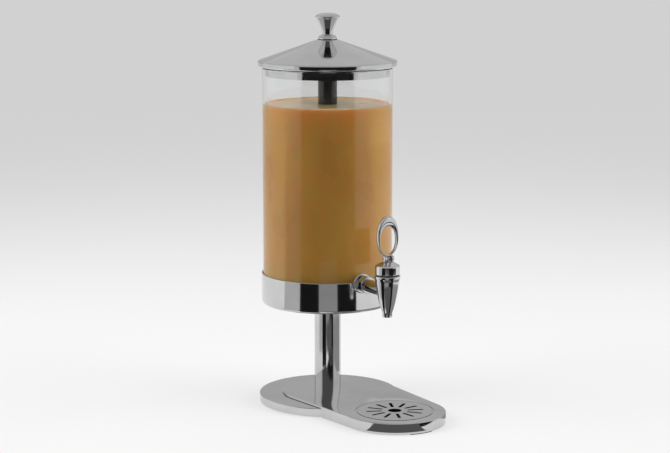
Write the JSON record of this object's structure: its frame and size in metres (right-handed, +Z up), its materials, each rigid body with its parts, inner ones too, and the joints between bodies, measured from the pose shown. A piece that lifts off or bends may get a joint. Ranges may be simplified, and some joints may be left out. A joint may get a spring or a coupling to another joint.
{
  "type": "cold drink dispenser",
  "caption": "Cold drink dispenser: clear jar in a polished steel cup on a pillar, coned lid with cooling tube, lever tap and a swinging drip tray.",
  "frame": {"origin": "on the pillar axis, on the underside of the rubber pad that the disc stands on", "axes": "+Z up along the pillar and jar axis, the tap points along -Y, +X to the right seen from the tap side"},
  "size_m": [0.1876, 0.3059, 0.4751],
  "materials": {
    "polished_steel": "mirror-polished stainless steel",
    "chrome_plate": "bright chrome on brass",
    "plain_steel": "plain machined steel",
    "cast_weight": "rough casting",
    "black_rubber": "matt moulded rubber",
    "black_plastic": "satin moulding",
    "smoke_plastic": "dark smoke, glossy",
    "pale_silicone": "milky silicone",
    "white_nylon": "satin nylon",
    "bronze": "plain bearing bronze",
    "clear_jar": "clear and smooth",
    "cooling_gel": "frozen gel"
  },
  "bodies": {
    "stand": {"base_pad": "black_rubber", "ballast": "cast_weight", "base_disc": "polished_steel", "base_washer": "plain_steel", "base_bolt": "plain_steel", "pillar_foot": "plain_steel", "pillar": "polished_steel", "pillar_head": "plain_steel", "glide_washer": "white_nylon", "thrust_washer": "white_nylon", "retainer_washer": "plain_steel", "retainer_screw": "plain_steel"},
    "cup": {"cup": "polished_steel", "cup_hub": "plain_steel", "swivel_bush": "bronze", "seat_ring": "white_nylon", "seat_pad": "black_rubber"},
    "reservoir": {"jar": "clear_jar", "outer_seal": "black_rubber", "inner_seal": "black_rubber", "lock_nut": "chrome_plate", "wall_flange": "chrome_plate", "collar_nut": "chrome_plate", "collar_washer": "chrome_plate", "tap_body": "chrome_plate", "bonnet_seal": "black_rubber", "tap_bonnet": "chrome_plate", "valve_spring": "plain_steel"},
    "valve": {"valve_seal": "pale_silicone", "valve_stem": "plain_steel", "lever_pin": "plain_steel"},
    "lever": {"tap_lever": "chrome_plate"},
    "lid": {"lid_shell": "polished_steel", "lid_plug": "polished_steel", "lid_gasket": "black_rubber", "knob_washer": "black_rubber", "knob": "polished_steel", "knob_stud": "plain_steel", "tube_holder": "polished_steel", "tube_cap": "smoke_plastic", "cooling_tube": "smoke_plastic", "cooling_gel": "cooling_gel"},
    "tray": {"tray_plate": "polished_steel", "drip_bowl": "black_plastic", "tray_foot": "black_rubber"},
    "grid": {"drip_grid": "polished_steel"}
  },
  "joints": [
    {"name": "cup_swivel", "type": "hinge", "parent": "stand", "child": "cup", "pos_m": [0, 0, 0.117], "axis": [0, 0, 1], "range_deg": [-90, 90]},
    {"name": "reservoir_lift", "type": "slide", "parent": "cup", "child": "reservoir", "axis": [0, 0, 1], "range_m": [0, 0.06]},
    {"name": "lid_lift", "type": "slide", "parent": "reservoir", "child": "lid", "axis": [0, 0, 1], "range_m": [0, 0.26]},
    {"name": "valve_lift", "type": "slide", "parent": "reservoir", "child": "valve", "axis": [0, 0, 1], "range_m": [0, 0.00126], "deforming": ["valve_spring"]},
    {"name": "lever_tilt", "type": "hinge", "parent": "valve", "child": "lever", "pos_m": [0, -0.142, 0.19395], "axis": [1, 0, 0], "range_deg": [0, 45], "stiffness_Nm_per_rad": 0.15, "springref_deg": -17.19},
    {"name": "tray_swing", "type": "hinge", "parent": "stand", "child": "tray", "pos_m": [0, 0, 0.0117], "axis": [0, 0, 1], "range_deg": [-60, 60]},
    {"name": "grid_lift", "type": "slide", "parent": "tray", "child": "grid", "axis": [0, 0, 1], "range_m": [0, 0.06]}
  ],
  "couplings": [
    {"joint": "lever_tilt", "follows": "valve_lift", "rad_per_m": 620}
  ]
}
